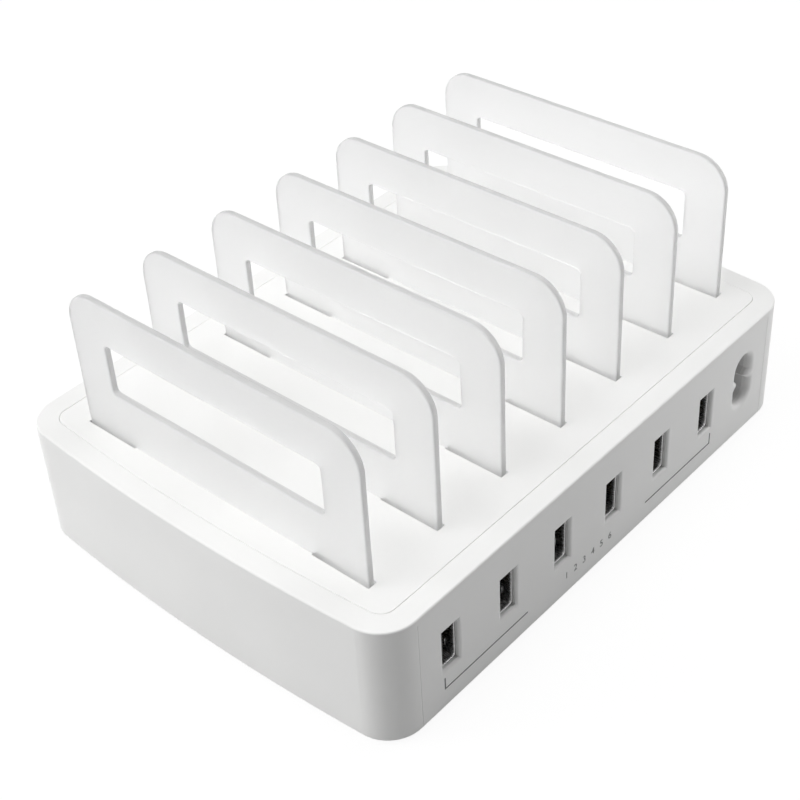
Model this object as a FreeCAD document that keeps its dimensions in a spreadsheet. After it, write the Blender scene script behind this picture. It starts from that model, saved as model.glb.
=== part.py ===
import FreeCAD, Part
import Sketcher
import math
import os
import re

# Charging station organizer: a low mains charger with a row of upright USB sockets along its front
# and a rack of frosted dividers standing in slots on its top.
# Millimetres. +X runs along the socket row, +Y from the sockets to the back, +Z up.
# The origin is on the table, under the middle of the base.

DIVIDERS = 7
PORTS = 6
OUTPUTS = 4

SIZES = {
    # base outline and height
    "base_length": 187.0,
    "base_width": 137.0,
    "housing_height": 38.5,
    "foot_stand": 1.0,
    "end_bow": 3.3,
    "corner_radius": 11.0,
    "wall": 2.5,
    "top_edge_radius": 0.5,
    "bottom_edge_radius": 0.6,
    "overcut": 1.0,
    "fit_gap": 0.05,
    # inset top plate and the ledge that carries it
    "rim_width": 6.5,
    "plate_thickness": 2.5,
    "plate_gap": 0.06,
    "ledge_width": 3.0,
    "ledge_thickness": 2.0,
    "seam_radius": 0.2,
    "ear_width": 9.0,
    "ear_reach": 8.0,
    "plate_boss_radius": 2.5,
    "plate_boss_gap": 0.3,
    "plate_screw_radius": 1.25,
    "plate_screw_depth": 1.5,
    "plate_screw_head_radius": 3.6,
    "plate_screw_head_height": 1.4,
    # dividers, their tabs and the sockets under the top plate
    "first_divider": 15.8,
    "divider_margin": 16.1,
    "divider_thickness": 2.0,
    "divider_height": 45.2,
    "divider_corner": 10.0,
    "divider_edge": 0.6,
    "window_margin": 13.5,
    "window_sill": 15.8,
    "window_height": 15.8,
    "window_corner": 1.4,
    "tab_length": 19.0,
    "tab_depth": 6.0,
    "tab_room": 0.5,
    "slot_gap": 0.5,
    "slot_end_gap": 0.15,
    "socket_wall": 1.2,
    "socket_floor": 1.2,
    # port panel
    "panel_end": 13.8,
    "panel_gap": 0.1,
    "panel_top": 2.0,
    "panel_front": 1.25,
    "panel_lap": 1.5,
    "shelf_depth": 5.0,
    "shelf_thickness": 2.0,
    "shelf_end": 24.0,
    "rib_thickness": 2.0,
    "rib_overlap": 3.7,
    "rib_reach": 4.7,
    "rib_lift": 0.3,
    # USB sockets
    "port_start": 25.6,
    "port_drop": 18.8,
    "port_height": 13.6,
    "port_width": 6.2,
    "port_edge_radius": 1.0,
    "port_recess": 1.4,
    "shell_height": 13.0,
    "shell_width": 5.6,
    "shell_length": 14.0,
    "shell_sheet": 0.25,
    "block_length": 4.0,
    "tongue_height": 11.1,
    "tongue_thickness": 1.84,
    "tongue_length": 8.4,
    "tongue_offset": 0.72,
    "contact_width": 1.0,
    "contact_thickness": 0.2,
    "contact_length": 7.0,
    "contact_tip": 0.8,
    "inner_contact": 1.0,
    "outer_contact": 3.5,
    # mains inlet
    "inlet_end": 25.5,
    "inlet_space": 20.2,
    "inlet_height": 17.5,
    "inlet_width": 8.0,
    "inlet_notch": 1.85,
    "inlet_edge_radius": 1.8,
    "inlet_wall": 1.5,
    "inlet_depth": 14.0,
    "inlet_back": 2.0,
    "pin_radius": 1.2,
    "pin_spacing": 8.6,
    "pin_recess": 4.5,
    "pin_leg_radius": 0.6,
    "lower_tail": 3.0,
    "upper_tail": 7.0,
    # bottom cover, feet and screws
    "cover_thickness": 2.5,
    "cover_gap": 0.3,
    "boss_radius": 3.5,
    "boss_offset": 1.8,
    "pad_height": 2.5,
    "cover_screw_radius": 1.5,
    "cover_screw_reach": 8.0,
    "cover_screw_head_radius": 2.75,
    "cover_screw_head_height": 1.7,
    "cover_screw_sink": 2.0,
    "screw_gap": 0.1,
    "foot_radius": 7.0,
    "foot_end": 21.5,
    "foot_side": 22.5,
    "foot_recess": 1.0,
    "foot_bevel": 0.5,
    # circuit board and its screws
    "board_thickness": 1.6,
    "board_end": 18.5,
    "board_front": 2.0,
    "board_back": 25.0,
    "board_notch_gap": 0.5,
    "standoff_radius": 3.2,
    "standoff_end": 22.5,
    "standoff_front": 33.5,
    "standoff_back": 33.5,
    "board_screw_radius": 1.25,
    "board_screw_reach": 5.0,
    "board_screw_head_radius": 2.4,
    "board_screw_head_height": 1.6,
    # parts of the power supply
    "chip_length": 5.0,
    "chip_depth": 4.0,
    "chip_height": 1.6,
    "chip_space": 2.0,
    "fuse_radius": 4.2,
    "fuse_height": 8.0,
    "fuse_from_inlet": 15.0,
    "fuse_back": 44.0,
    "line_shift": 8.5,
    "film_length": 16.0,
    "film_depth": 8.5,
    "film_height": 14.0,
    "film_back": 52.0,
    "choke_radius": 7.0,
    "choke_core_radius": 3.5,
    "choke_flange": 1.5,
    "choke_height": 14.0,
    "choke_winding_gap": 0.2,
    "choke_winding_sink": 0.5,
    "choke_back": 75.0,
    "bridge_length": 15.0,
    "bridge_depth": 3.6,
    "bridge_height": 11.0,
    "bridge_back": 86.0,
    "bulk_radius": 8.0,
    "bulk_length": 30.0,
    "bulk_from_inlet": 32.0,
    "bulk_back": 80.0,
    "sink_length": 40.0,
    "sink_thickness": 2.0,
    "sink_height": 15.0,
    "sink_x": 12.0,
    "sink_back": 58.0,
    "transistor_width": 10.0,
    "transistor_thickness": 4.5,
    "transistor_height": 14.0,
    "core_length": 27.0,
    "core_depth": 11.0,
    "core_height": 16.0,
    "core_yoke": 3.5,
    "core_window": 5.5,
    "winding_gap": 0.25,
    "winding_overhang": 4.5,
    "transformer_x": -12.0,
    "transformer_back": 80.0,
    "output_radius": 5.0,
    "output_height": 15.0,
    "output_pitch": 12.5,
    "output_end": 48.5,
    "output_back": 40.0,
}

# Lengths that follow from the sizes above.
DERIVED = {
    "top_z": "foot_stand + housing_height",
    "front_y": "-base_width / 2",
    "inner_front": "front_y + wall",
    "bow_radius": "(end_bow ^ 2 + (base_width / 2) ^ 2) / (2 * end_bow)",
    "corner_y": "base_width / 2 - corner_radius",
    "corner_x": "base_length / 2 - bow_radius + sqrt((bow_radius - corner_radius) ^ 2 - corner_y ^ 2)",
    "plate_low": "top_z - plate_thickness",
    "ledge_low": "plate_low - ledge_thickness",
    "divider_pitch": f"(base_length - 2 * first_divider) / {DIVIDERS - 1}",
    "divider_length": "base_width - 2 * divider_margin",
    "slot_floor": "top_z - tab_depth - tab_room",
    "socket_low": "slot_floor - socket_floor",
    "slot_width": "divider_thickness + 2 * slot_gap",
    "slot_length": "tab_length + 2 * slot_end_gap",
    "tab_middle": "divider_length / 2 - tab_length / 2",
    "ear_x": "(base_length / 2 - first_divider) / 2",
    "ear_edge": "base_width / 2 - rim_width - ledge_width",
    "ear_y": "ear_edge - ear_reach / 2",
    "panel_half": "base_length / 2 - panel_end",
    "panel_high": "top_z - panel_top",
    "port_z": "top_z - port_drop",
    "port_x": "port_start - base_length / 2",
    "inlet_x": "base_length / 2 - inlet_end",
    "port_pitch": f"(base_length - port_start - inlet_end - inlet_space) / {PORTS - 1}",
    "shell_front": "front_y + port_recess",
    "shell_back": "shell_front + shell_length",
    "block_front": "shell_back - block_length",
    "tongue_low": "shell_sheet + tongue_offset - shell_width / 2",
    "inlet_rear": "inner_front + inlet_depth + inlet_back",
    "cover_top": "foot_stand + cover_thickness",
    "pad_top": "cover_top + pad_height",
    "boss_x": "corner_x + boss_offset",
    "boss_y": "corner_y + boss_offset",
    "foot_x": "base_length / 2 - foot_end",
    "foot_y": "base_width / 2 - foot_side",
    "board_top": "port_z - shell_height / 2",
    "board_low": "board_top - board_thickness",
    "board_half": "base_length / 2 - board_end",
    "board_front_y": "inner_front + board_front",
    "board_back_y": "base_width / 2 - board_back",
    "standoff_x": "base_length / 2 - standoff_end",
    "standoff_front_y": "standoff_front + front_y",
    "standoff_back_y": "base_width / 2 - standoff_back",
    "line_x": "inlet_x - line_shift",
    "output_x": "output_end - base_length / 2",
    "leg_half": "core_length / 2 - core_yoke - core_window",
}

TOP = SIZES["foot_stand"] + SIZES["housing_height"]
LEAST_RADIUS = 0.5
SIDES = (-1, 1)
CORNERS = {
    "front_left": (-1, -1),
    "front_right": (1, -1),
    "rear_left": (-1, 1),
    "rear_right": (1, 1),
}
ALONG_X = FreeCAD.Rotation(FreeCAD.Vector(0, 1, 0), 90)
ALONG_Y = FreeCAD.Rotation(FreeCAD.Vector(1, 0, 0), -90)
HALF_TURN = FreeCAD.Rotation(FreeCAD.Vector(0, 0, 1), 180)
TOLERANCE = 1e-4

DOC = FreeCAD.newDocument("charging_station")
NODES = {}


def fill_sheet():
    """Puts every driving size in the sheet, under its own name."""
    sheet = DOC.addObject("Spreadsheet::Sheet", "sizes")
    for row, (alias, value) in enumerate(SIZES.items(), 1):
        sheet.set(f"A{row}", alias)
        sheet.set(f"B{row}", str(value))
        sheet.setAlias(f"B{row}", alias)
    DOC.recompute()


def formula(text):
    """Expression for a length, with each size read from the sheet."""
    def swap(match):
        word = match.group()
        if word in DERIVED:
            return f"({formula(DERIVED[word])})"
        if word in SIZES:
            return f"sizes.{word}"
        return word
    return re.sub(r"[a-z]\w*", swap, text)


def bind(item, **lengths):
    for name, text in lengths.items():
        item.setExpression(name, formula(text))


def place(item, x="0", y="0", z="0", turn=None):
    if turn:
        item.Placement = FreeCAD.Placement(FreeCAD.Vector(), turn)
    for axis, text in zip("xyz", (x, y, z)):
        item.setExpression(f"Placement.Base.{axis}", formula(text))


def box(name, x, y, z):
    """Block from (low end, size) along each axis."""
    item = DOC.addObject("Part::Box", name)
    bind(item, Length=x[1], Width=y[1], Height=z[1])
    place(item, x[0], y[0], z[0])
    return item


def middle(centre, size):
    """Low end and size of a span about a centre."""
    return f"{centre} - ({size}) / 2", size


def span(low, high):
    """Low end and size of a span between two ends."""
    return low, f"({high}) - ({low})"


def cylinder(name, radius, height, x, y, z, turn=None):
    item = DOC.addObject("Part::Cylinder", name)
    bind(item, Radius=radius, Height=height)
    place(item, x, y, z, turn)
    return item


def gather(kind, name, items):
    item = DOC.addObject(kind, name)
    item.Shapes = items
    return item


def fuse(name, *items):
    item = gather("Part::MultiFuse", name, list(items))
    item.Refine = True
    return item


def common(name, *items):
    return gather("Part::MultiCommon", name, list(items))


def cut(name, base, *tools):
    item = DOC.addObject("Part::Cut", name)
    item.Base = base
    item.Tool = tools[0] if len(tools) == 1 else gather("Part::MultiFuse", name + "_tools", list(tools))
    item.Refine = True
    return item


def group(name, items):
    """Several separate solids of one kind."""
    item = DOC.addObject("Part::Compound", name)
    item.Links = items
    return item


def round_edges(name, base, picks):
    """Rounds the edges that each test picks, by its radius."""
    DOC.recompute()
    item = DOC.addObject("Part::Fillet", name)
    item.Base = base
    chosen = []
    for test, radius in picks:
        for index, edge in enumerate(base.Shape.Edges, 1):
            if test(edge):
                chosen.append((index, radius, radius))
    item.Edges = chosen
    return item


def upright(edge):
    box_of = edge.BoundBox
    return box_of.XLength < TOLERANCE and box_of.YLength < TOLERANCE


def at_height(height):
    def test(edge):
        box_of = edge.BoundBox
        return abs(box_of.ZMin - height) < TOLERANCE and abs(box_of.ZMax - height) < TOLERANCE
    return test


def node(name, item):
    item.Label = name
    NODES[name] = item


def rounded_block(name, inset, low, height):
    """Base outline drawn in by inset: straight long sides, bowed ends and round corners."""
    slab = box(
        name + "_slab",
        middle("0", "base_length"),
        middle("0", f"base_width - 2 * ({inset})"),
        (low, height),
    )
    bows = []
    for side, turn in ((-1, None), (1, HALF_TURN)):
        bows.append(cylinder(
            f"{name}_bow_{side + 2}", f"bow_radius - ({inset})", height,
            f"{side} * (base_length / 2 - bow_radius)", "0", low, turn,
        ))
    blank = common(name + "_blank", slab, *bows)
    DOC.recompute()
    inset_value = (SIZES["base_width"] - slab.Width.Value) / 2
    radius = max(SIZES["corner_radius"] - inset_value, LEAST_RADIUS)
    return round_edges(name, blank, [(upright, radius)])


def make_upper_housing():
    """Moulded shell, open below, with a rim and a ledge round the top plate and an opening in front."""
    outer = rounded_block("housing_outline", "0", "foot_stand", "housing_height")
    softened = round_edges("housing_softened", outer, [
        (at_height(TOP), SIZES["top_edge_radius"]),
        (at_height(SIZES["foot_stand"]), SIZES["bottom_edge_radius"]),
    ])
    tools = [
        rounded_block("housing_cavity", "wall", *span("foot_stand - overcut", "ledge_low")),
        rounded_block("plate_seat", "rim_width", *span("plate_low", "top_z + overcut")),
        rounded_block(
            "plate_opening", "rim_width + ledge_width",
            *span("ledge_low - overcut", "plate_low + overcut"),
        ),
        box(
            "panel_opening",
            middle("0", "2 * panel_half"),
            span("front_y - overcut", "inner_front"),
            span("foot_stand - overcut", "panel_high"),
        ),
        box(
            "panel_rabbet",
            middle("0", "2 * (panel_half + panel_lap)"),
            span("front_y + panel_front", "inner_front"),
            span("foot_stand - overcut", "panel_high"),
        ),
    ]
    shell = cut("housing_shell", softened, *tools)
    additions = [shell]
    holes = []
    for name, (side, end) in CORNERS.items():
        x, y = f"{side} * boss_x", f"{end} * boss_y"
        additions.append(cylinder(
            "boss_" + name, "boss_radius", "ledge_low + ledge_thickness / 2 - pad_top", x, y, "pad_top"
        ))
        holes.append(cylinder(
            "boss_hole_" + name, "cover_screw_radius + fit_gap", "cover_screw_reach + overcut",
            x, y, "pad_top",
        ))
        ear_x = f"{side} * ear_x"
        additions.append(box(
            "ear_" + name,
            middle(ear_x, "ear_width"),
            middle(f"{end} * (ear_y + ledge_width / 4)", "ear_reach + ledge_width / 2"),
            ("ledge_low", "ledge_thickness"),
        ))
        holes.append(cylinder(
            "ear_hole_" + name, "plate_boss_radius + plate_boss_gap", "ledge_thickness + 2 * overcut",
            ear_x, f"{end} * ear_y", "ledge_low - overcut",
        ))
    for side in SIDES:
        rib_x = f"{side} * (panel_half + panel_lap + (rib_reach - rib_overlap) / 2)"
        additions.append(box(
            f"panel_rib_{side + 2}",
            middle(rib_x, "rib_reach + rib_overlap"),
            ("inner_front", "rib_thickness"),
            span("cover_top + rib_lift", "ledge_low + ledge_thickness / 2"),
        ))
    body = cut("housing_body", fuse("housing_fused", *additions), *holes)
    half_width = SIZES["base_width"] / 2 - SIZES["rim_width"] + TOLERANCE

    def seat_edge(edge):
        box_of = edge.BoundBox
        return at_height(TOP)(edge) and max(abs(box_of.YMin), abs(box_of.YMax)) < half_width

    node("upper_housing", round_edges("housing_seamed", body, [(seat_edge, SIZES["seam_radius"])]))


def make_top_plate():
    """Inset plate with two blind sockets for each divider and bosses for its screws."""
    blank = rounded_block("plate_outline", "rim_width + plate_gap", "plate_low", "plate_thickness")
    plate = round_edges("plate_softened", blank, [(at_height(TOP), SIZES["seam_radius"])])
    additions = [plate]
    holes = []
    for index in range(DIVIDERS):
        x = f"({index - DIVIDERS // 2}) * divider_pitch"
        for end in SIDES:
            y = f"{end} * tab_middle"
            mark = f"{index + 1}_{end + 2}"
            additions.append(box(
                "socket_" + mark,
                middle(x, "slot_width + 2 * socket_wall"),
                middle(y, "slot_length + 2 * socket_wall"),
                span("socket_low", "plate_low + plate_thickness / 2"),
            ))
            holes.append(box(
                "slot_" + mark,
                middle(x, "slot_width"),
                middle(y, "slot_length"),
                span("slot_floor", "top_z + overcut"),
            ))
    for name, (side, end) in CORNERS.items():
        x, y = f"{side} * ear_x", f"{end} * ear_y"
        additions.append(cylinder(
            "plate_boss_" + name, "plate_boss_radius", "ledge_thickness + plate_thickness / 2",
            x, y, "ledge_low",
        ))
        holes.append(cylinder(
            "plate_hole_" + name, "plate_screw_radius + fit_gap",
            "ledge_thickness + plate_screw_depth + overcut", x, y, "ledge_low - overcut",
        ))
    node("top_plate", cut("plate_cut", fuse("plate_fused", *additions), *holes))


def make_plate_screws():
    screws = []
    for name, (side, end) in CORNERS.items():
        x, y = f"{side} * ear_x", f"{end} * ear_y"
        head = cylinder(
            "plate_screw_head_" + name, "plate_screw_head_radius", "plate_screw_head_height",
            x, y, "ledge_low - plate_screw_head_height",
        )
        shank = cylinder(
            "plate_screw_shank_" + name, "plate_screw_radius",
            "ledge_thickness + plate_screw_depth + plate_screw_head_height / 2",
            x, y, "ledge_low - plate_screw_head_height / 2",
        )
        screws.append(fuse("plate_screw_" + name, head, shank))
    node("top_plate_screws", group("plate_screw_set", screws))


def plane(body, role):
    return next(item for item in body.Origin.OriginFeatures if item.Role == role)


def sketch_on(body, name, role):
    sketch = body.newObject("Sketcher::SketchObject", name)
    sketch.AttachmentSupport = [(plane(body, role), "")]
    sketch.MapMode = "FlatFace"
    return sketch


def pin_point(sketch, line, end, u, v):
    """Holds one point of a sketch at formulas for its two coordinates."""
    for kind, text in (("DistanceX", u), ("DistanceY", v)):
        index = sketch.addConstraint(Sketcher.Constraint(kind, -1, 1, line, end, 1.0))
        sketch.setExpression(f"Constraints[{index}]", formula(text))


def draw_outline(sketch, corners):
    """Closed outline of straight lines through corners given as formulas."""
    first = sketch.GeometryCount
    count = len(corners)
    # the lines start as a regular polygon, which the pinned corners then pull into shape
    ring = [
        FreeCAD.Vector(math.cos(math.tau * step / count), math.sin(math.tau * step / count), 0)
        for step in range(count)
    ]
    for step in range(count):
        sketch.addGeometry(Part.LineSegment(ring[step], ring[(step + 1) % count]), False)
    for step in range(count):
        following = first + (step + 1) % count
        sketch.addConstraint(Sketcher.Constraint("Coincident", first + step, 2, following, 1))
    for step, (u, v) in enumerate(corners):
        pin_point(sketch, first + step, 1, u, v)


def draw_circle(sketch, u, v, radius):
    circle = sketch.addGeometry(
        Part.Circle(FreeCAD.Vector(), FreeCAD.Vector(0, 0, 1), 1.0), False
    )
    pin_point(sketch, circle, 3, u, v)
    index = sketch.addConstraint(Sketcher.Constraint("Radius", circle, 1.0))
    sketch.setExpression(f"Constraints[{index}]", formula(radius))


def pad(body, sketch, length):
    item = body.newObject("PartDesign::Pad", sketch.Name + "_pad")
    item.Profile = sketch
    bind(item, Length=length)
    DOC.recompute()
    return item


def pocket(body, sketch, length):
    """Cut along the sketch's normal, which has to take something away."""
    before = body.Shape.Volume
    item = body.newObject("PartDesign::Pocket", sketch.Name + "_pocket")
    item.Profile = sketch
    item.Reversed = True
    bind(item, Length=length)
    DOC.recompute()
    if body.Shape.Volume > before - TOLERANCE:
        raise RuntimeError(f"{item.Name} takes nothing away")
    return item


def revolve(body, sketch):
    item = body.newObject("PartDesign::Revolution", sketch.Name + "_turned")
    item.Profile = sketch
    item.ReferenceAxis = (sketch, ["V_Axis"])
    item.Angle = 360.0
    DOC.recompute()
    return item


def body_fillet(body, base, name, test, radius):
    item = body.newObject("PartDesign::Fillet", name)
    names = [f"Edge{index}" for index, edge in enumerate(base.Shape.Edges, 1) if test(edge)]
    item.Base = (base, names)
    bind(item, Radius=radius)
    DOC.recompute()
    return item


def new_body(name):
    return DOC.addObject("PartDesign::Body", name)


def make_divider(number):
    """Frosted plate with round upper corners, a long window and a tab at each end of its foot."""
    body = new_body(f"divider_body_{number}")
    half, step_in = "divider_length / 2", "(divider_length / 2 - tab_length)"
    tab_low, foot = "top_z - tab_depth", "top_z + fit_gap"
    outline = sketch_on(body, f"divider_outline_{number}", "YZ_Plane")
    draw_outline(outline, [
        ("-" + half, tab_low),
        ("-" + step_in, tab_low),
        ("-" + step_in, foot),
        (step_in, foot),
        (step_in, tab_low),
        (half, tab_low),
        (half, "top_z + divider_height"),
        ("-" + half, "top_z + divider_height"),
    ])
    pad(body, outline, "divider_thickness")
    window = sketch_on(body, f"divider_window_{number}", "YZ_Plane")
    side = "(divider_length / 2 - window_margin)"
    sill, head = "top_z + window_sill", "top_z + window_sill + window_height"
    draw_outline(window, [("-" + side, sill), (side, sill), (side, head), ("-" + side, head)])
    plate = pocket(body, window, "divider_thickness + overcut")

    def across(edge):
        return edge.BoundBox.YLength < TOLERANCE and edge.BoundBox.ZLength < TOLERANCE

    def shoulder(edge):
        return across(edge) and abs(edge.BoundBox.ZMin - TOP - SIZES["divider_height"]) < TOLERANCE

    def window_corner(edge):
        above_sill = edge.BoundBox.ZMin - TOP - SIZES["window_sill"]
        return across(edge) and -TOLERANCE < above_sill < SIZES["window_height"] + TOLERANCE

    def shown(edge):
        above_plate = edge.BoundBox.ZMax - TOP
        return edge.BoundBox.XLength < TOLERANCE and above_plate > SIZES["divider_edge"]

    plate = body_fillet(body, plate, f"divider_shoulders_{number}", shoulder, "divider_corner")
    plate = body_fillet(body, plate, f"divider_window_corners_{number}", window_corner, "window_corner")
    body_fillet(body, plate, f"divider_edges_{number}", shown, "divider_edge")
    place(body, f"({number - 1 - DIVIDERS // 2}) * divider_pitch - divider_thickness / 2")
    node(f"divider_{number}", body)


def figure_eight(name, y):
    """Mains inlet opening: a slot with round ends and a pointed notch in each long side."""
    straight = "(inlet_height - inlet_width)"
    low_y, depth = y
    bar = box(name + "_bar", middle("inlet_x", "inlet_width"), y, middle("port_z", straight))
    rounds = [
        cylinder(
            f"{name}_round_{end + 2}", "inlet_width / 2", depth,
            "inlet_x", low_y, f"port_z + {end} * {straight} / 2", ALONG_Y,
        )
        for end in SIDES
    ]
    notches = []
    for side in SIDES:
        notch = DOC.addObject("Part::Prism", f"{name}_notch_{side + 2}")
        notch.Polygon = 4
        bind(notch, Circumradius="inlet_notch", Height=f"({depth}) + 2 * overcut")
        place(notch, f"inlet_x + {side} * inlet_width / 2", f"({low_y}) - overcut", "port_z", ALONG_Y)
        notches.append(notch)
    return cut(name, fuse(name + "_slot", bar, *rounds), *notches)


def port_centre(index):
    return f"(port_x + {index} * port_pitch)"


def make_port_panel():
    """Flush front panel with a rabbeted edge, six socket openings, the inlet opening and a shelf."""
    skin = box(
        "panel_skin",
        middle("0", "2 * (panel_half - panel_gap)"),
        ("front_y", "panel_front"),
        span("foot_stand", "panel_high"),
    )
    back = box(
        "panel_back",
        middle("0", "2 * (panel_half + panel_lap - panel_gap)"),
        span("front_y + panel_front", "inner_front"),
        span("foot_stand", "panel_high"),
    )
    shelf = box(
        "panel_shelf",
        span("shelf_end - base_length / 2", "inlet_x - inlet_width / 2 - inlet_wall - board_notch_gap"),
        ("inner_front", "shelf_depth"),
        ("cover_top", "shelf_thickness"),
    )
    tools = [figure_eight("panel_inlet", span("front_y - overcut", "inner_front + overcut"))]
    for index in range(PORTS):
        tools.append(box(
            f"port_opening_{index + 1}",
            middle(port_centre(index), "port_width"),
            span("front_y - overcut", "inner_front + overcut"),
            middle("port_z", "port_height"),
        ))
    pierced = cut("panel_pierced", fuse("panel_fused", skin, back, shelf), *tools)
    front = -SIZES["base_width"] / 2
    low = SIZES["foot_stand"]
    high = low + SIZES["housing_height"] - SIZES["panel_top"]
    inlet_left = (SIZES["base_length"] - SIZES["inlet_width"]) / 2 - SIZES["inlet_end"]

    def on_face(edge):
        box_of = edge.BoundBox
        return abs(box_of.YMin - front) < TOLERANCE and abs(box_of.YMax - front) < TOLERANCE

    def lower_edge(edge):
        return on_face(edge) and abs(edge.BoundBox.ZMax - low) < TOLERANCE

    def opening_edge(edge):
        box_of = edge.BoundBox
        inside = low + TOLERANCE < box_of.ZMin and box_of.ZMax < high - TOLERANCE
        return on_face(edge) and inside

    def inlet_edge(edge):
        return opening_edge(edge) and edge.BoundBox.XMin > inlet_left - TOLERANCE

    def port_edge(edge):
        return opening_edge(edge) and not inlet_edge(edge)

    node("port_panel", round_edges("panel_rounded", pierced, [
        (lower_edge, SIZES["bottom_edge_radius"]),
        (port_edge, SIZES["port_edge_radius"]),
        (inlet_edge, SIZES["inlet_edge_radius"]),
    ]))


def make_usb_socket(index):
    """Upright USB socket: a folded steel shell, an insulator with its tongue, and four contacts."""
    mark = index + 1
    x = port_centre(index)
    outer = box(
        f"shell_outer_{mark}", middle(x, "shell_width"), ("shell_front", "shell_length"),
        middle("port_z", "shell_height"),
    )
    inner = box(
        f"shell_inner_{mark}", middle(x, "shell_width - 2 * shell_sheet"),
        span("shell_front - overcut", "shell_back + overcut"),
        middle("port_z", "shell_height - 2 * shell_sheet"),
    )
    node(f"usb_shell_{mark}", cut(f"shell_cut_{mark}", outer, inner))
    block = box(
        f"insulator_block_{mark}", middle(x, "shell_width - 2 * (shell_sheet + fit_gap)"),
        ("block_front", "block_length"),
        middle("port_z", "shell_height - 2 * (shell_sheet + fit_gap)"),
    )
    tongue_x = f"{x} + tongue_low"
    tongue = box(
        f"insulator_tongue_{mark}", (tongue_x, "tongue_thickness"),
        span("block_front - tongue_length", "block_front + block_length / 2"),
        middle("port_z", "tongue_height"),
    )
    node(f"usb_tongue_{mark}", fuse(f"insulator_{mark}", block, tongue))
    contacts = []
    for place_name in ("outer_contact", "inner_contact"):
        for end in SIDES:
            contacts.append(box(
                f"{place_name}_{mark}_{end + 2}",
                (f"{tongue_x} + tongue_thickness", "contact_thickness"),
                ("block_front - tongue_length + contact_tip", "contact_length"),
                middle(f"port_z + {end} * {place_name}", "contact_width"),
            ))
    node(f"usb_contacts_{mark}", group(f"contact_set_{mark}", contacts))


def make_inlet():
    """Mains inlet behind the panel: an insulating socket and two round pins with soldered legs."""
    block = box(
        "inlet_block", middle("inlet_x", "inlet_width + 2 * inlet_wall"),
        span("inner_front", "inlet_rear"), middle("port_z", "inlet_height + 2 * inlet_wall"),
    )
    hollow = figure_eight("inlet_hollow", span("inner_front - overcut", "inlet_rear - inlet_back"))
    holes = []
    pins = []
    for end, tail in ((-1, "lower_tail"), (1, "upper_tail")):
        z = f"port_z + {end} * pin_spacing / 2"
        holes.append(cylinder(
            f"inlet_hole_{end + 2}", "pin_radius + fit_gap", "inlet_back + 2 * overcut",
            "inlet_x", "inlet_rear - inlet_back - overcut", z, ALONG_Y,
        ))
        rod = cylinder(
            f"pin_rod_{end + 2}", "pin_radius", f"inlet_rear + {tail} - (front_y + pin_recess)",
            "inlet_x", "front_y + pin_recess", z, ALONG_Y,
        )
        leg = cylinder(
            f"pin_leg_{end + 2}", "pin_leg_radius", f"{z} - board_top",
            "inlet_x", f"inlet_rear + {tail} - pin_radius", "board_top",
        )
        pins.append(fuse(f"pin_{end + 2}", rod, leg))
    node("inlet_body", cut("inlet_cut", block, hollow, *holes))
    node("inlet_pins", group("pin_set", pins))


def make_bottom_cover():
    """Cover inside the lower edge, with screw pads, board standoffs and recesses for the feet."""
    plate = rounded_block("cover_outline", "wall + cover_gap", "foot_stand", "cover_thickness")
    additions = [plate]
    holes = []
    for name, (side, end) in CORNERS.items():
        x, y = f"{side} * boss_x", f"{end} * boss_y"
        additions.append(cylinder(
            "pad_" + name, "boss_radius", "pad_top - foot_stand", x, y, "foot_stand"
        ))
        holes.append(cylinder(
            "cover_hole_" + name, "cover_screw_radius + screw_gap", "pad_top - foot_stand + 2 * overcut",
            x, y, "foot_stand - overcut",
        ))
        holes.append(cylinder(
            "cover_sink_" + name, "cover_screw_head_radius + screw_gap", "cover_screw_sink + overcut",
            x, y, "foot_stand - overcut",
        ))
        holes.append(cylinder(
            "foot_seat_" + name, "foot_radius + screw_gap", "foot_recess + overcut",
            f"{side} * foot_x", f"{end} * foot_y", "foot_stand - overcut",
        ))
        x = f"{side} * standoff_x"
        y = "standoff_front_y" if end < 0 else "standoff_back_y"
        additions.append(cylinder(
            "standoff_" + name, "standoff_radius", "board_low - foot_stand - foot_recess", x, y,
            "foot_stand + foot_recess",
        ))
        holes.append(cylinder(
            "standoff_hole_" + name, "board_screw_radius + fit_gap", "board_screw_reach + overcut",
            x, y, "board_low - board_screw_reach",
        ))
    node("bottom_cover", cut("cover_cut", fuse("cover_fused", *additions), *holes))


def make_cover_screws():
    screws = []
    for name, (side, end) in CORNERS.items():
        x, y = f"{side} * boss_x", f"{end} * boss_y"
        seat = "foot_stand + cover_screw_sink"
        head = cylinder(
            "cover_screw_head_" + name, "cover_screw_head_radius", "cover_screw_head_height",
            x, y, f"{seat} - cover_screw_head_height",
        )
        shank = cylinder(
            "cover_screw_shank_" + name, "cover_screw_radius",
            f"pad_top + cover_screw_reach - ({seat}) + cover_screw_head_height / 2",
            x, y, f"{seat} - cover_screw_head_height / 2",
        )
        screws.append(fuse("cover_screw_" + name, head, shank))
    node("cover_screws", group("cover_screw_set", screws))


def make_feet():
    for name, (side, end) in CORNERS.items():
        body = new_body("foot_body_" + name)
        profile = sketch_on(body, "foot_profile_" + name, "XZ_Plane")
        high = "foot_stand + foot_recess"
        draw_outline(profile, [
            ("0", "0"),
            ("foot_radius - foot_bevel", "0"),
            ("foot_radius", "foot_bevel"),
            ("foot_radius", high),
            ("0", high),
        ])
        revolve(body, profile)
        place(body, f"{side} * foot_x", f"{end} * foot_y")
        node("foot_" + name, body)


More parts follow.
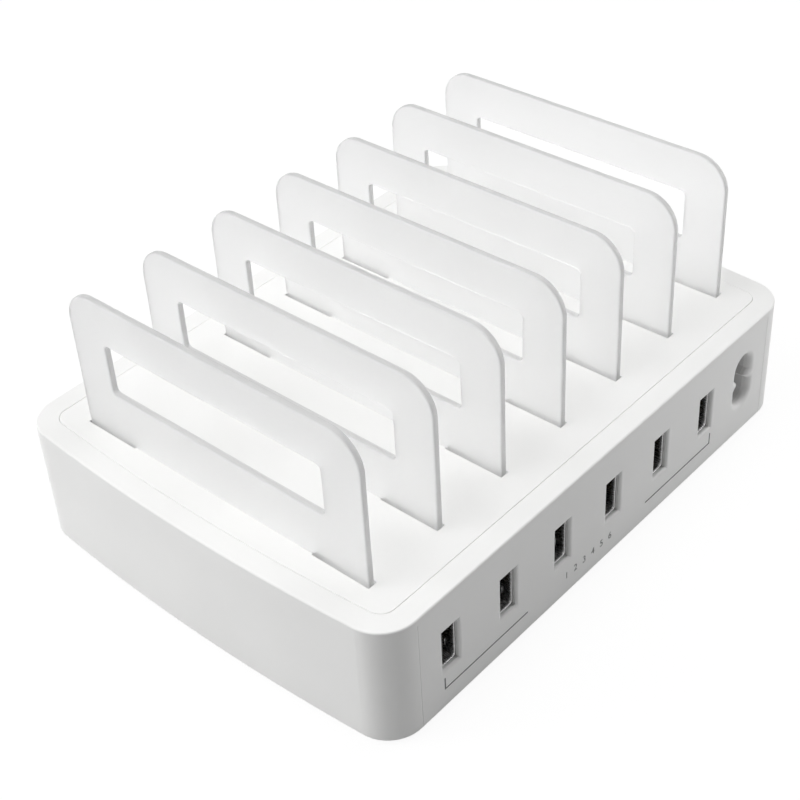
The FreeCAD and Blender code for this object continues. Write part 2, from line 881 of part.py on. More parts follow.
def make_board():
    """Circuit board on the standoffs, notched round the inlet, with its four screws."""
    body = new_body("board_body")
    outline = sketch_on(body, "board_outline", "XY_Plane")
    notch_x = "inlet_x - inlet_width / 2 - inlet_wall - board_notch_gap"
    notch_y = "inlet_rear + board_notch_gap"
    draw_outline(outline, [
        ("-board_half", "board_front_y"),
        (notch_x, "board_front_y"),
        (notch_x, notch_y),
        ("board_half", notch_y),
        ("board_half", "board_back_y"),
        ("-board_half", "board_back_y"),
    ])
    pad(body, outline, "board_thickness")
    holes = sketch_on(body, "board_holes", "XY_Plane")
    screws = []
    for name, (side, end) in CORNERS.items():
        x = f"{side} * standoff_x"
        y = "standoff_front_y" if end < 0 else "standoff_back_y"
        draw_circle(holes, x, y, "board_screw_radius + screw_gap")
        head = cylinder(
            "board_screw_head_" + name, "board_screw_head_radius", "board_screw_head_height",
            x, y, "board_top",
        )
        shank = cylinder(
            "board_screw_shank_" + name, "board_screw_radius",
            "board_thickness + board_screw_reach + board_screw_head_height / 2",
            x, y, "board_low - board_screw_reach",
        )
        screws.append(fuse("board_screw_" + name, head, shank))
    pocket(body, holes, "board_thickness + overcut")
    place(body, z="board_low")
    node("main_board", body)
    node("board_screws", group("board_screw_set", screws))


def on_board(name, x, back, length, depth, height):
    """Block standing on the board, its middle at a distance behind the front face."""
    return box(name, middle(x, length), middle(f"front_y + {back}", depth), ("board_top", height))


def make_spool():
    """Drum choke: a turned core with two flanges, and its winding between them."""
    body = new_body("choke_body")
    profile = sketch_on(body, "choke_profile", "XZ_Plane")
    waist_high = "choke_height - choke_flange"
    draw_outline(profile, [
        ("0", "0"),
        ("choke_radius", "0"),
        ("choke_radius", "choke_flange"),
        ("choke_core_radius", "choke_flange"),
        ("choke_core_radius", waist_high),
        ("choke_radius", waist_high),
        ("choke_radius", "choke_height"),
        ("0", "choke_height"),
    ])
    revolve(body, profile)
    centre = ("line_x", "front_y + choke_back")
    place(body, *centre, "board_top")
    node("line_choke", body)
    low = "board_top + choke_flange + choke_winding_gap"
    height = "choke_height - 2 * (choke_flange + choke_winding_gap)"
    coil = cylinder("choke_coil", "choke_radius - choke_winding_sink", height, *centre, low)
    bore = cylinder(
        "choke_bore", "choke_core_radius + choke_winding_gap", f"{height} + 2 * overcut",
        *centre, f"{low} - overcut",
    )
    node("line_choke_winding", cut("choke_winding", coil, bore))


def make_transformer():
    """Ferrite core with two windows, and the taped winding round its middle leg."""
    x, back = "transformer_x", "transformer_back"
    block = on_board("core_block", x, back, "core_length", "core_depth", "core_height")
    windows = []
    for side in SIDES:
        windows.append(box(
            f"core_window_{side + 2}",
            middle(f"{x} + {side} * (leg_half + core_window / 2)", "core_window"),
            middle(f"front_y + {back}", "core_depth + 2 * overcut"),
            span("board_top + core_yoke", "board_top + core_height - core_yoke"),
        ))
    node("transformer_core", cut("core_cut", block, *windows))
    low = "board_top + core_yoke + winding_gap"
    high = "board_top + core_height - core_yoke - winding_gap"
    outer = box(
        "winding_outer",
        middle(x, "2 * (leg_half + core_window - winding_gap)"),
        middle(f"front_y + {back}", "core_depth + 2 * winding_overhang"),
        span(low, high),
    )
    bore = box(
        "winding_bore",
        middle(x, "2 * (leg_half + winding_gap)"),
        middle(f"front_y + {back}", "core_depth + 2 * winding_gap"),
        span(f"{low} - overcut", f"{high} + overcut"),
    )
    node("transformer_winding", cut("winding_cut", outer, bore))


def make_power_supply():
    """Parts that stand on the board behind the sockets."""
    chips = [
        box(
            f"chip_{index + 1}", middle(port_centre(index), "chip_length"),
            ("shell_back + chip_space", "chip_depth"), ("board_top", "chip_height"),
        )
        for index in range(PORTS)
    ]
    node("port_controllers", group("chip_set", chips))
    node("line_fuse", cylinder(
        "fuse_can", "fuse_radius", "fuse_height",
        "inlet_x - fuse_from_inlet", "front_y + fuse_back", "board_top",
    ))
    node("film_capacitor", on_board(
        "film_block", "line_x", "film_back + film_depth", "film_length", "film_depth", "film_height"
    ))
    make_spool()
    node("bridge_rectifier", on_board(
        "bridge_block", "line_x", "bridge_back", "bridge_length", "bridge_depth", "bridge_height"
    ))
    node("input_capacitor", cylinder(
        "bulk_can", "bulk_radius", "bulk_length", "inlet_x - bulk_from_inlet - bulk_length / 2",
        "front_y + bulk_back", "board_top + bulk_radius", ALONG_X,
    ))
    node("heat_sink", on_board(
        "sink_plate", "sink_x", "sink_back", "sink_length", "sink_thickness", "sink_height"
    ))
    node("power_transistor", on_board(
        "transistor_block", "sink_x", "sink_back + (sink_thickness + transistor_thickness) / 2",
        "transistor_width", "transistor_thickness", "transistor_height",
    ))
    make_transformer()
    outputs = [
        cylinder(
            f"output_can_{step + 1}", "output_radius", "output_height",
            f"output_x + ({step - (OUTPUTS - 1) / 2}) * output_pitch", "front_y + output_back", "board_top",
        )
        for step in range(OUTPUTS)
    ]
    node("output_capacitors", group("output_set", outputs))


def check_document():
    """Stops if any object failed or any sub-part has no sound shape."""
    for item in DOC.Objects:
        if "Invalid" in item.State or "Error" in item.State:
            raise RuntimeError(f"{item.Name}: {item.State}")
    for name, item in NODES.items():
        if item.Label != name:
            raise RuntimeError(f"{item.Label} should be labelled {name}")
        if item.Shape.isNull() or not item.Shape.isValid():
            raise RuntimeError(f"{name} has no valid shape")


def write_parts():
    os.makedirs("parts", exist_ok=True)
    for name, item in NODES.items():
        item.Shape.exportStep(f"parts/{name}.step")


fill_sheet()
make_upper_housing()
make_top_plate()
make_plate_screws()
for number in range(1, DIVIDERS + 1):
    make_divider(number)
make_port_panel()
for index in range(PORTS):
    make_usb_socket(index)
make_inlet()
make_bottom_cover()
make_cover_screws()
make_feet()
make_board()
make_power_supply()
DOC.recompute()
check_document()
write_parts()
for name, item in NODES.items():
    print(f"{name}: {len(item.Shape.Solids)} solid(s), {item.Shape.Volume:.1f} mm3")
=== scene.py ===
import math

import bmesh
import bpy
from mathutils import Matrix, Vector


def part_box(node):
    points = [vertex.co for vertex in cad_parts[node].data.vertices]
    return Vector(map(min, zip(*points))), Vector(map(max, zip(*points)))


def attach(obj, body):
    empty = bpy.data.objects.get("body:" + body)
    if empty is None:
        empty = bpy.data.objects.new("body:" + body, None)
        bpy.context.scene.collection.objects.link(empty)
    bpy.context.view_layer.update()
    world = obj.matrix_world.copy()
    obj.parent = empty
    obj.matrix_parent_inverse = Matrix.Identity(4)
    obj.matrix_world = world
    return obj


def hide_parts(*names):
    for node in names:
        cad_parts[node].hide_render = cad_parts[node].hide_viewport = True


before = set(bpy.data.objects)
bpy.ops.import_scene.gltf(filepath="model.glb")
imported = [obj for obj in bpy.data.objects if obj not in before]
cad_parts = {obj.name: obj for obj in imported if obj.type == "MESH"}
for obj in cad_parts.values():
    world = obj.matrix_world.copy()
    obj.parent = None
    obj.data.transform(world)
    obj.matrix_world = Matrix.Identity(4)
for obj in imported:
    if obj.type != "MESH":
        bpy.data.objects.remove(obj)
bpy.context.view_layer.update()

MM = 0.001
PORTS = 6
DIVIDERS = 7
FRONT_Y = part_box("port_panel")[0].y
WHITE = (1, 1, 1, 1)
# A face looks along an axis when its normal has at least this much of it.
FACING = 0.9


def linear(code):
    """Linear colour of an sRGB hex value."""
    channels = [int(code[i:i + 2], 16) / 255 for i in (1, 3, 5)]
    return [c / 12.92 if c <= 0.04045 else ((c + 0.055) / 1.055) ** 2.4 for c in channels] + [1.0]


def add_node(tree, kind, inputs=None, **settings):
    """Adds a shader node with its settings, and sets or links its inputs."""
    node = tree.nodes.new(kind)
    for name, value in settings.items():
        setattr(node, name, value)
    for name, value in (inputs or {}).items():
        if isinstance(value, bpy.types.NodeSocket):
            tree.links.new(value, node.inputs[name])
        else:
            node.inputs[name].default_value = value
    return node


def new_material(name):
    """Empty node material, and its Object coordinates."""
    material = bpy.data.materials.new(name)
    material.use_nodes = True
    tree = material.node_tree
    tree.nodes.clear()
    return material, tree, add_node(tree, "ShaderNodeTexCoord").outputs["Object"]


def close_material(tree, shader):
    """Joins the last shader to the material's output."""
    add_node(tree, "ShaderNodeOutputMaterial", {"Surface": shader.outputs[0]})


def spots(tree, place, size_mm, detail=3.0):
    """Noise with spots of about this size."""
    noise = add_node(tree, "ShaderNodeTexNoise", {
        "Vector": place, "Scale": 1 / (size_mm * MM), "Detail": detail,
    })
    return noise.outputs["Fac"]


def two_tones(tree, noise, dark, light, start=0.0, end=1.0):
    """Colour that drifts between two tones with a noise."""
    ramp = add_node(tree, "ShaderNodeValToRGB", {"Fac": noise})
    first, last = ramp.color_ramp.elements
    first.position, last.position = start, end
    first.color, last.color = linear(dark), linear(light)
    return ramp.outputs["Color"]


def between(tree, value, low, high):
    """Value spread from low to high."""
    spread = add_node(tree, "ShaderNodeMapRange", {"Value": value, "To Min": low, "To Max": high})
    return spread.outputs["Result"]


def bumps(tree, noise, strength, depth_mm):
    """Fine relief that follows a noise."""
    skin = add_node(tree, "ShaderNodeBump", {
        "Height": noise, "Strength": strength, "Distance": depth_mm * MM,
    })
    return skin.outputs["Normal"]


# Moulded ABS: a fine spark-eroded skin that spreads the highlight, and a slight drift of tone and gloss.
# The real grain is near 0.1 mm. It is drawn at 0.45 mm, to show.
def white_abs():
    material, tree, place = new_material("white_moulded_abs")
    drift = spots(tree, place, size_mm=45, detail=2.0)
    grain = spots(tree, place, size_mm=0.45)
    close_material(tree, add_node(tree, "ShaderNodeBsdfPrincipled", {
        "Base Color": two_tones(tree, drift, "#eeeeed", "#f4f4f3", start=0.3, end=0.7),
        "Roughness": between(tree, grain, 0.36, 0.48),
        "Normal": bumps(tree, grain, strength=0.12, depth_mm=0.02),
        "IOR": 1.53,
    }))
    return material


# Cast acrylic sheet, frosted on both faces: light passes but is scattered, so what is behind is a soft
# shade. The cut edges let less light through, and their colour is a painted shade darker than the faces, so they
# show as darker lines.
# The frosting is near 0.05 mm. It is drawn at 0.35 mm, to show.
def frosted_acrylic():
    material, tree, place = new_material("frosted_cast_acrylic")
    way = add_node(tree, "ShaderNodeNewGeometry").outputs["Normal"]
    split = add_node(tree, "ShaderNodeSeparateXYZ", {"Vector": way})
    across = add_node(tree, "ShaderNodeMath", {0: split.outputs["X"]}, operation="ABSOLUTE")
    # 1 on the two faces of the sheet, 0 on its edges.
    face = add_node(tree, "ShaderNodeMapRange", {
        "Value": across.outputs[0], "From Min": 0.5, "From Max": 0.95,
    }).outputs["Result"]
    frost = spots(tree, place, size_mm=0.35, detail=4.0)
    cloud = spots(tree, place, size_mm=30, detail=2.0)
    # Sockets 6 and 7 of the mix node are its two colours, and output 2 is the mixed colour.
    # The #d8d8d8 on the edges is painted shade; the faces keep a pale random tone.
    tone_with_painted_edge_shade = add_node(tree, "ShaderNodeMix", {
        0: face, 6: linear("#d8d8d8"), 7: two_tones(tree, cloud, "#fafafa", "#fefefe"),
    }, data_type="RGBA").outputs[2]
    sheet = add_node(tree, "ShaderNodeBsdfPrincipled", {
        "Base Color": tone_with_painted_edge_shade,
        "Roughness": between(tree, frost, 0.42, 0.52),
        "Normal": bumps(tree, frost, strength=0.15, depth_mm=0.02),
        "IOR": 1.49,
        "Transmission Weight": between(tree, face, 0.55, 0.7),
    })
    # Lamps shine on through the sheet, so its shadow is pale.
    passed = add_node(tree, "ShaderNodeBsdfTransparent", {"Color": linear("#e2e2e2")})
    lamp_ray = add_node(tree, "ShaderNodeLightPath").outputs["Is Shadow Ray"]
    close_material(tree, add_node(tree, "ShaderNodeMixShader", {
        "Fac": lamp_ray, 1: sheet.outputs[0], 2: passed.outputs[0],
    }))
    return material


# Nickel-plated steel sheet: rolled streaks along the length, a plain grey metal.
def nickel_sheet():
    material, tree, place = new_material("nickel_plated_steel")
    along = add_node(tree, "ShaderNodeMapping", {"Vector": place, "Scale": (1.0, 0.08, 1.0)})
    streak = spots(tree, along.outputs["Vector"], size_mm=0.25)
    close_material(tree, add_node(tree, "ShaderNodeBsdfPrincipled", {
        "Base Color": two_tones(tree, streak, "#c2c2c2", "#d8d8d8"),
        "Roughness": between(tree, streak, 0.18, 0.34),
        "Metallic": 1.0,
    }))
    return material


# Black PBT, moulded and a little glossy: a dark inside to each socket, with a faint shine.
def black_pbt():
    material, tree, place = new_material("black_moulded_pbt")
    grain = spots(tree, place, size_mm=0.4)
    close_material(tree, add_node(tree, "ShaderNodeBsdfPrincipled", {
        "Base Color": two_tones(tree, grain, "#121213", "#1d1d1f"),
        "Roughness": between(tree, grain, 0.3, 0.5),
        "IOR": 1.55,
    }))
    return material


# Metals that differ only in tone, polish and the grit of their finish.
def plain_metal(name, tones, gloss, grit_mm):
    material, tree, place = new_material(name)
    grit = spots(tree, place, grit_mm)
    close_material(tree, add_node(tree, "ShaderNodeBsdfPrincipled", {
        "Base Color": two_tones(tree, grit, *tones),
        "Roughness": between(tree, grit, *gloss),
        "Metallic": 1.0,
    }))
    return material


# Dull finishes that differ only in tone, gloss and grain: nylon, rubber, epoxy, lacquer, ferrite, ink.
def plain_dull(name, tones, gloss, grain_mm, depth_mm):
    material, tree, place = new_material(name)
    grain = spots(tree, place, grain_mm)
    close_material(tree, add_node(tree, "ShaderNodeBsdfPrincipled", {
        "Base Color": two_tones(tree, grain, *tones),
        "Roughness": between(tree, grain, *gloss),
        "Normal": bumps(tree, grain, strength=0.3, depth_mm=depth_mm),
    }))
    return material


def dress(material, *names):
    """Gives CAD nodes their material."""
    for name in names:
        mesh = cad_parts[name].data
        mesh.materials.clear()
        mesh.materials.append(material)


def numbered(name, count):
    """Names with a number from 1 up."""
    return [f"{name}_{number}" for number in range(1, count + 1)]


dress(white_abs(), "upper_housing", "top_plate", "port_panel", "bottom_cover")
dress(frosted_acrylic(), *numbered("divider", DIVIDERS))
NICKEL = nickel_sheet()
dress(NICKEL, *numbered("usb_shell", PORTS))
dress(black_pbt(), *numbered("usb_tongue", PORTS))

# Ink printed on the panel: a flat dark grey with a faint mottle.
INK = plain_dull("printed_grey_ink", ("#3e3e40", "#4a4a4c"), (0.5, 0.62), grain_mm=0.3, depth_mm=0.004)
# Moulded nylon: a soft pale inside to the inlet, without a sharp highlight.
dress(
    plain_dull("pale_grey_moulded_nylon", ("#e2e2e2", "#eaeaea"), (0.45, 0.6), grain_mm=0.6, depth_mm=0.02),
    "inlet_body",
)
# Gold plate, thin and pale: small warm glints inside the sockets.
dress(
    plain_metal("pale_gold_plated_contact", ("#a8966c", "#c4b48c"), (0.2, 0.32), grit_mm=0.3),
    *numbered("usb_contacts", PORTS),
)
# Plated and polished: a bright point at each pin's end.
dress(plain_metal("nickel_plated_pin", ("#c2bfb8", "#dedbd5"), (0.14, 0.26), grit_mm=0.4), "inlet_pins")
# Zinc plate: a cool, slightly cloudy grey.
ZINC = plain_metal("zinc_plated_screw", ("#a4a6a8", "#c8cacc"), (0.25, 0.42), grit_mm=0.5)
dress(ZINC, "top_plate_screws", "cover_screws", "board_screws")
# Moulded rubber: dark and dull, with a slight roughness.
dress(
    plain_dull("moulded_grey_rubber", ("#2b2b2c", "#3a3a3b"), (0.75, 0.9), grain_mm=0.5, depth_mm=0.03),
    "foot_front_left", "foot_front_right", "foot_rear_left", "foot_rear_right",
)
# Lacquer screened on a board: a deep green with a soft shine.
dress(
    plain_dull("screened_green_board_lacquer", ("#0d4a2a", "#176238"), (0.3, 0.45), grain_mm=1.2, depth_mm=0.01),
    "main_board",
)
# Moulded epoxy: a fine, even, near-black skin.
dress(
    plain_dull("moulded_black_epoxy", ("#161617", "#232324"), (0.45, 0.6), grain_mm=0.4, depth_mm=0.01),
    "port_controllers", "bridge_rectifier", "power_transistor", "line_fuse",
)
# Dipped polyester: a warm yellow with a smooth shine.
dress(
    plain_dull("dipped_yellow_polyester", ("#c99a1e", "#dcb136"), (0.3, 0.42), grain_mm=1.0, depth_mm=0.01),
    "film_capacitor",
)
# Sintered ferrite: a dark, dry, grainy grey.
dress(
    plain_dull("sintered_ferrite", ("#232427", "#34353a"), (0.5, 0.7), grain_mm=0.6, depth_mm=0.03),
    "line_choke", "transformer_core",
)
# Enamelled wire: a brown copper shine.
dress(
    plain_metal("enamelled_copper", ("#8f4a22", "#b5672f"), (0.25, 0.4), grit_mm=0.5),
    "line_choke_winding", "transformer_winding",
)
# Sleeve shrunk on a can: a dark blue with a smooth shine.
dress(
    plain_dull("shrunk_sleeve_on_capacitor", ("#1b2233", "#263049"), (0.28, 0.4), grain_mm=1.5, depth_mm=0.01),
    "input_capacitor", "output_capacitors",
)
# Rolled sheet: a pale, soft metal shine.
dress(plain_metal("rolled_aluminium", ("#b4b7ba", "#d2d4d6"), (0.28, 0.42), grit_mm=0.6), "heat_sink")


def select_none():
    bpy.ops.object.select_all(action="DESELECT")


def only(piece):
    """Leaves one piece selected and active."""
    select_none()
    piece.select_set(True)
    bpy.context.view_layer.objects.active = piece


def edit():
    bpy.ops.object.mode_set(mode="EDIT")


def stop_editing():
    bpy.ops.object.mode_set(mode="OBJECT")


def apply_place():
    bpy.ops.object.transform_apply(location=True, rotation=True, scale=True)


def add_block(centre, size):
    """Plain block to work from."""
    select_none()
    bpy.ops.mesh.primitive_cube_add(size=1, location=centre)
    block = bpy.context.object
    block.scale = size
    apply_place()
    return block


def select_faces(piece, test):
    """In edit mode, selects the faces that pass a test of their middle and direction."""
    bpy.ops.mesh.select_mode(type="FACE")
    bpy.ops.mesh.select_all(action="DESELECT")
    form = bmesh.from_edit_mesh(piece.data)
    for face in form.faces:
        face.select_set(test(face.calc_center_median(), face.normal))
    bmesh.update_edit_mesh(piece.data)


def select_edges(piece, test):
    """In edit mode, selects the edges that pass a test of their two ends."""
    bpy.ops.mesh.select_mode(type="EDGE")
    bpy.ops.mesh.select_all(action="DESELECT")
    form = bmesh.from_edit_mesh(piece.data)
    for edge in form.edges:
        edge.select_set(test(edge.verts[0].co, edge.verts[1].co))
    bmesh.update_edit_mesh(piece.data)


def cut_across(place, way):
    """In edit mode, cuts every face where a plane crosses it."""
    bpy.ops.mesh.select_mode(type="FACE")
    bpy.ops.mesh.select_all(action="SELECT")
    bpy.ops.mesh.bisect(plane_co=place, plane_no=way, use_fill=False)


def pull_faces(shift):
    """In edit mode, extrudes the selected faces."""
    bpy.ops.mesh.extrude_region_move(TRANSFORM_OT_translate={"value": shift})


def pull_edges(shift):
    """In edit mode, extrudes the selected edges."""
    bpy.ops.mesh.extrude_edges_move(TRANSFORM_OT_translate={"value": shift})


def widen(centre, x, y, z):
    """In edit mode, scales what is selected about a point."""
    bpy.ops.transform.resize(value=(x, y, z), center_override=centre)


def apply_modifier(piece, kind, **settings):
    only(piece)
    modifier = piece.modifiers.new(kind.lower(), kind)
    for name, value in settings.items():
        setattr(modifier, name, value)
    bpy.ops.object.modifier_apply(modifier=modifier.name)


def smooth(piece, degrees):
    """Smooth shading, with edges sharper than an angle kept."""
    only(piece)
    bpy.ops.object.shade_smooth_by_angle(angle=math.radians(degrees))


def copy_to(piece, shift):
    """Copy with a mesh of its own, moved by a shift."""
    only(piece)
    bpy.ops.object.duplicate(linked=False)
    twin = bpy.context.object
    twin.location = shift
    apply_place()
    return twin


def finish_piece(piece, name, material, body):
    """Names a piece, dresses it, and sets the body it rides on."""
    piece.name = name
    piece.data.name = name
    piece.data.materials.clear()
    piece.data.materials.append(material)
    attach(piece, body)


PRINT_LINE = 0.46 * MM
PRINT_DEPTH = 0.02 * MM
PRINT_Z = 7.65 * MM
PRINT_LEFT = (-71.05 * MM, -36.9 * MM)
PRINT_RIGHT = (17.7 * MM, 51.3 * MM)
PRINT_TICK_TOP = 11.5 * MM


def make_print_line(name, inner, outer):
    """Printed line under the sockets, with a short tick turned up at its outer end."""
    line = add_block(((inner + outer) / 2, FRONT_Y, PRINT_Z), (abs(outer - inner), PRINT_DEPTH, PRINT_LINE))
    way = 1 if outer > inner else -1
    edit()
    cut_across((outer - way * PRINT_LINE, 0, 0), (1, 0, 0))
    select_faces(line, lambda place, normal: (place.x - outer) * way > -PRINT_LINE and normal.z > FACING)
    pull_faces((0, 0, PRINT_TICK_TOP - PRINT_Z - PRINT_LINE / 2))
    stop_editing()
    finish_piece(line, name, INK, "base")


make_print_line("print_line_left", PRINT_LEFT[1], PRINT_LEFT[0])
make_print_line("print_line_right", PRINT_RIGHT[0], PRINT_RIGHT[1])

NUMBER_HEIGHT = 2.3 * MM
# A figure's height as a share of the size of its letters.
NUMBER_SHARE = 0.7
NUMBER_GAP = 2.6


def make_print_numbers():
    """Printed numbers of the sockets, in the gap between the two lines."""
    select_none()
    bpy.ops.object.text_add()
    words = bpy.context.object.data
    words.body = " ".join(str(number) for number in range(1, PORTS + 1))
    words.size = NUMBER_HEIGHT / NUMBER_SHARE
    words.space_word = NUMBER_GAP
    words.extrude = PRINT_DEPTH / 2
    words.align_x = "CENTER"
    words.align_y = "CENTER"
    bpy.ops.object.convert(target="MESH")
    numbers = bpy.context.object
    numbers.rotation_euler = (math.pi / 2, 0, 0)
    numbers.location = ((PRINT_LEFT[1] + PRINT_RIGHT[0]) / 2, FRONT_Y, PRINT_Z)
    apply_place()
    finish_piece(numbers, "print_numbers", INK, "base")


make_print_numbers()

SHEET = 0.25 * MM
SHEET_ROUNDING = 0.36 * SHEET
FOLD_RADIUS = 0.8 * MM
LIP_LENGTH = 0.7 * MM
LIP_FLARE = 0.1 * MM
# Along the shell from its mouth: the front of each finger's window, and the finger's root.
FINGER_FRONT = 2.6 * MM
FINGER_ROOT = 9.0 * MM
FINGER_PLACE = 3.3 * MM
FINGER_WIDTH = 2.2 * MM
FINGER_BEND = 0.42 * MM
FINGER_TIP = 1.3 * MM
FINGER_REACH = FINGER_ROOT - FINGER_FRONT - FINGER_TIP - SHEET


def make_socket_shell():
    """Folded steel shell: round folds, a flared lip and two sprung fingers in each wide wall."""
    low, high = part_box("usb_shell_1")
    centre = (low + high) / 2
    size = high - low
    front = low.y + FINGER_FRONT
    root = low.y + FINGER_ROOT
    sides = [
        centre.z + end * FINGER_PLACE + edge * FINGER_WIDTH / 2 for end in (-1, 1) for edge in (-1, 1)
    ]

    def beside(z):
        return sides[0] < z < sides[1] or sides[2] < z < sides[3]

    def in_window(place, way):
        return abs(way.x) > FACING and beside(place.z) and front < place.y < root

    def at_root(a, b, wall):
        middle = (a + b) / 2
        level = max(abs(a.y - root), abs(b.y - root)) < SHEET / 10
        return level and beside(middle.z) and (middle.x - centre.x) * wall > 0

    shell = add_block(centre, size)
    edit()
    select_faces(shell, lambda place, way: abs(way.y) > FACING)
    bpy.ops.mesh.delete(type="ONLY_FACE")
    select_edges(shell, lambda a, b: abs(a.y - b.y) > LIP_LENGTH)
    bpy.ops.mesh.bevel(offset=FOLD_RADIUS, segments=4)
    for place in (low.y + LIP_LENGTH, front, root):
        cut_across((0, place, 0), (0, 1, 0))
    for side in sides:
        cut_across((0, 0, side), (0, 0, 1))
    select_edges(shell, lambda a, b: max(a.y, b.y) < low.y + LIP_LENGTH / 2)
    widen(centre, 1 + 2 * LIP_FLARE / size.x, 1, 1 + 2 * LIP_FLARE / size.z)
    select_faces(shell, in_window)
    bpy.ops.mesh.delete(type="FACE")
    for wall in (-1, 1):
        select_edges(shell, lambda a, b: at_root(a, b, wall))
        pull_edges((-wall * FINGER_BEND, -FINGER_REACH, 0))
        pull_edges((wall * FINGER_BEND / 2, -FINGER_TIP, 0))
    stop_editing()
    apply_modifier(shell, "SOLIDIFY", thickness=SHEET, offset=-1, use_even_offset=True)
    apply_modifier(
        shell, "BEVEL", width=SHEET_ROUNDING, segments=3, limit_method="ANGLE", angle_limit=math.radians(50)
    )
    smooth(shell, degrees=40)
    return shell


def make_socket_shells():
    """A shell in each socket, in place of the CAD's plain one."""
    first = make_socket_shell()
    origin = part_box("usb_shell_1")[0]
    for number, node in enumerate(numbered("usb_shell", PORTS), 1):
        shell = first if number == 1 else copy_to(first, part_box(node)[0] - origin)
        finish_piece(shell, f"socket_shell_{number}", NICKEL, "base")
        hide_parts(node)


make_socket_shells()

SCREW_HEAD = 2.75 * MM
SCREW_HEAD_HEIGHT = 1.7 * MM
SCREW_HEAD_ROUNDING = 0.45 * SCREW_HEAD_HEIGHT
SCREW_SHANK = 1.5 * MM
THREAD_TURNS = 7
# Each groove narrows over the first share of its turn, then widens again.
THREAD_SHARES = (0.45, 0.55)
THREAD_NARROWING = 0.86
CROSS_LENGTH = 1.5 * MM
CROSS_WIDTH = 0.36 * MM
CROSS_DEPTH = 0.9 * MM
CROSS_TAPER = 0.75


def make_cover_screw(x, y):
    """Pan-head screw, head down, with a cross recess and a shank with turned grooves for its thread."""
    low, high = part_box("cover_screws")
    under = low.z + SCREW_HEAD_HEIGHT / 10
    step = (high.z - low.z - SCREW_HEAD_HEIGHT) / THREAD_TURNS
    narrow, wide = THREAD_SHARES

    def in_cross(place, way):
        across, along = abs(place.x - x), abs(place.y - y)
        bar = min(across, along) < CROSS_WIDTH and max(across, along) < CROSS_LENGTH
        return bar and way.z < -FACING and place.z < under

    select_none()
    bpy.ops.mesh.primitive_cylinder_add(
        vertices=40, radius=SCREW_HEAD, depth=SCREW_HEAD_HEIGHT,
        location=(x, y, low.z + SCREW_HEAD_HEIGHT / 2),
    )
    screw = bpy.context.object
    apply_place()
    edit()
    select_faces(screw, lambda place, way: way.z > FACING)
    bpy.ops.mesh.inset(thickness=SCREW_HEAD - SCREW_SHANK, depth=0)
    for _ in range(THREAD_TURNS):
        for rise, grow in ((step * narrow, THREAD_NARROWING), (step * wide, 1 / THREAD_NARROWING)):
            pull_faces((0, 0, rise))
            widen((x, y, 0), grow, grow, 1)
    select_edges(screw, lambda a, b: max(a.z, b.z) < under)
    bpy.ops.mesh.bevel(offset=SCREW_HEAD_ROUNDING, segments=4)
    for reach in (-CROSS_LENGTH, -CROSS_WIDTH, CROSS_WIDTH, CROSS_LENGTH):
        cut_across((x + reach, 0, 0), (1, 0, 0))
        cut_across((0, y + reach, 0), (0, 1, 0))
    select_faces(screw, in_cross)
    pull_faces((0, 0, CROSS_DEPTH))
    widen((x, y, 0), CROSS_TAPER, CROSS_TAPER, 1)
    stop_editing()
    smooth(screw, degrees=35)
    return screw


def make_cover_screws():
    """The cover's four screws as one piece, in place of the CAD's plain ones."""
    low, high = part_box("cover_screws")
    left, right = low.x + SCREW_HEAD, high.x - SCREW_HEAD
    front, back = low.y + SCREW_HEAD, high.y - SCREW_HEAD
    first = make_cover_screw(left, front)
    screws = [first]
    for shift in ((right - left, 0, 0), (0, back - front, 0), (right - left, back - front, 0)):
        screws.append(copy_to(first, shift))
    only(first)
    for screw in screws:
        screw.select_set(True)
    bpy.ops.object.join()
    finish_piece(first, "cover_screw_set", ZINC, "base")
    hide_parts("cover_screws")


make_cover_screws()


# Studio: a white floor that runs out of sight, soft lamps overhead, over the left, over the right and
# behind the left, and a small one in front of the sockets.
def seen_ray(tree):
    """1 where the camera sees the surface, straight or by mirrors and clear pieces alone."""
    path = add_node(tree, "ShaderNodeLightPath")
    either = add_node(tree, "ShaderNodeMath", {
        0: path.outputs["Is Camera Ray"], 1: path.outputs["Is Glossy Ray"],
    }, operation="MAXIMUM")
    every = add_node(tree, "ShaderNodeMath", {
        0: either.outputs[0], 1: path.outputs["Is Transmission Ray"],
    }, operation="MAXIMUM")
    straight = add_node(tree, "ShaderNodeMath", {
        0: path.outputs["Diffuse Depth"], 1: 0.5,
    }, operation="LESS_THAN")
    seen = add_node(tree, "ShaderNodeMath", {
        0: every.outputs[0], 1: straight.outputs[0],
    }, operation="MULTIPLY")
    return seen.outputs[0]


FLOOR_SIZE = 8
FLOOR_GLOW = 1.1
# How much of the floor's seen colour is its own glow. The rest is lit paper, and holds the shadow.
FLOOR_GLOW_SHARE = 0.84
ROOM_LIGHT = 0.08
SEEN_BACKDROP = 0.82


# White paper, seen as an even white ground that still takes the part's soft shadow.
def white_floor():
    material, tree, place = new_material("white_paper_floor")
    fibre = spots(tree, place, size_mm=60, detail=2.0)
    paper = add_node(tree, "ShaderNodeBsdfDiffuse", {"Color": two_tones(tree, fibre, "#c6c6c6", "#cccccc")})
    glow = add_node(tree, "ShaderNodeEmission", {"Color": WHITE, "Strength": FLOOR_GLOW})
    share = add_node(tree, "ShaderNodeMath", {
        0: seen_ray(tree), 1: FLOOR_GLOW_SHARE,
    }, operation="MULTIPLY")
    close_material(tree, add_node(tree, "ShaderNodeMixShader", {
        "Fac": share.outputs[0], 1: paper.outputs[0], 2: glow.outputs[0],
    }))
    return material


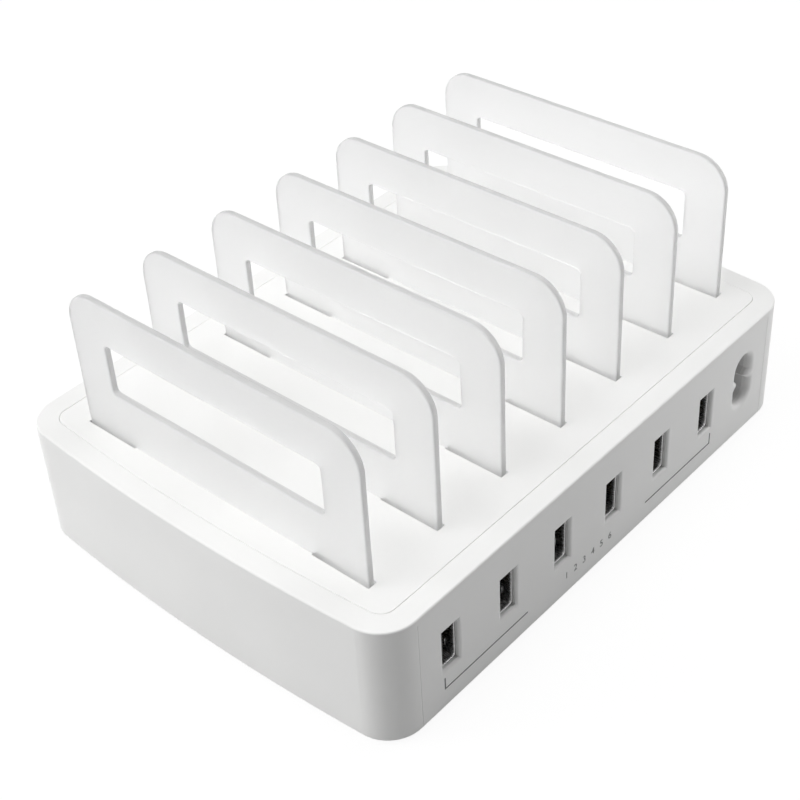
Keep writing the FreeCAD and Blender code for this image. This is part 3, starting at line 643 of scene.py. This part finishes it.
def make_stage():
    """Floor, and a world that is pale where it is seen and dim as a light."""
    select_none()
    bpy.ops.mesh.primitive_plane_add(size=FLOOR_SIZE, location=(0, 0, 0))
    floor = bpy.context.object
    floor.name = "floor"
    floor.data.materials.append(white_floor())
    world = bpy.data.worlds.new("studio")
    world.use_nodes = True
    tree = world.node_tree
    tree.nodes.clear()
    room = add_node(tree, "ShaderNodeBackground", {"Color": WHITE, "Strength": ROOM_LIGHT})
    seen = add_node(tree, "ShaderNodeBackground", {"Color": WHITE, "Strength": SEEN_BACKDROP})
    both = add_node(tree, "ShaderNodeMixShader", {
        "Fac": seen_ray(tree), 1: room.outputs[0], 2: seen.outputs[0],
    })
    add_node(tree, "ShaderNodeOutputWorld", {"Surface": both.outputs[0]})
    bpy.context.scene.world = world


def make_lamp(name, place, width, power):
    """Round soft lamp, turned to the part and out of the picture."""
    lamp = bpy.data.lights.new(name, "AREA")
    lamp.shape = "DISK"
    lamp.size = width
    lamp.energy = power
    holder = bpy.data.objects.new(name, lamp)
    holder.location = place
    holder.rotation_euler = (-Vector(place)).to_track_quat("-Z", "Y").to_euler()
    holder.visible_camera = False
    bpy.context.scene.collection.objects.link(holder)


def keep_out_of_mirrors(name):
    """Lets a lamp light surfaces without its own shine, so that low views across the top don't glare."""
    lamp = bpy.data.objects[name]
    lamp.visible_glossy = False
    lamp.visible_transmission = False


CAMERA_PLACE = Vector((-270.4, -247.6, 311.8)) * MM
CAMERA_RIGHT = Vector((0.65754, -0.75188, -0.04822))
CAMERA_UP = Vector((0.47659, 0.36551, 0.79954))
CAMERA_SENSOR_MM = 36.0
CAMERA_LENS_MM = 70.94
CAMERA_SHIFT = (-0.0011, -0.0493)
CAMERA_NEAREST = 0.01


def make_camera():
    """Camera at the place and angle that the photograph's edges give, for a square picture."""
    camera = bpy.data.cameras.new("camera")
    camera.sensor_width = CAMERA_SENSOR_MM
    camera.lens = CAMERA_LENS_MM
    camera.shift_x, camera.shift_y = CAMERA_SHIFT
    camera.clip_start = CAMERA_NEAREST
    holder = bpy.data.objects.new("camera", camera)
    back = CAMERA_RIGHT.cross(CAMERA_UP)
    turn = Matrix((CAMERA_RIGHT, CAMERA_UP, back)).transposed().to_4x4()
    holder.matrix_world = Matrix.Translation(CAMERA_PLACE) @ turn
    bpy.context.scene.collection.objects.link(holder)
    bpy.context.scene.camera = holder


make_stage()
make_lamp("overhead_lamp", place=(-0.2, 0.4, 1.4), width=1.4, power=5.0)
make_lamp("left_overhead_lamp", place=(-0.8, 0.2, 1.2), width=0.9, power=6.5)
make_lamp("left_back_lamp", place=(-0.9, 1.05, 0.6), width=0.9, power=10.6)
make_lamp("right_overhead_lamp", place=(0.5, -0.1, 1.2), width=0.9, power=5.3)
make_lamp("front_lamp", place=(0.28, -0.26, 0.1), width=0.15, power=0.3)
keep_out_of_mirrors("left_back_lamp")
make_camera()
bpy.context.scene.view_settings.view_transform = "Standard"
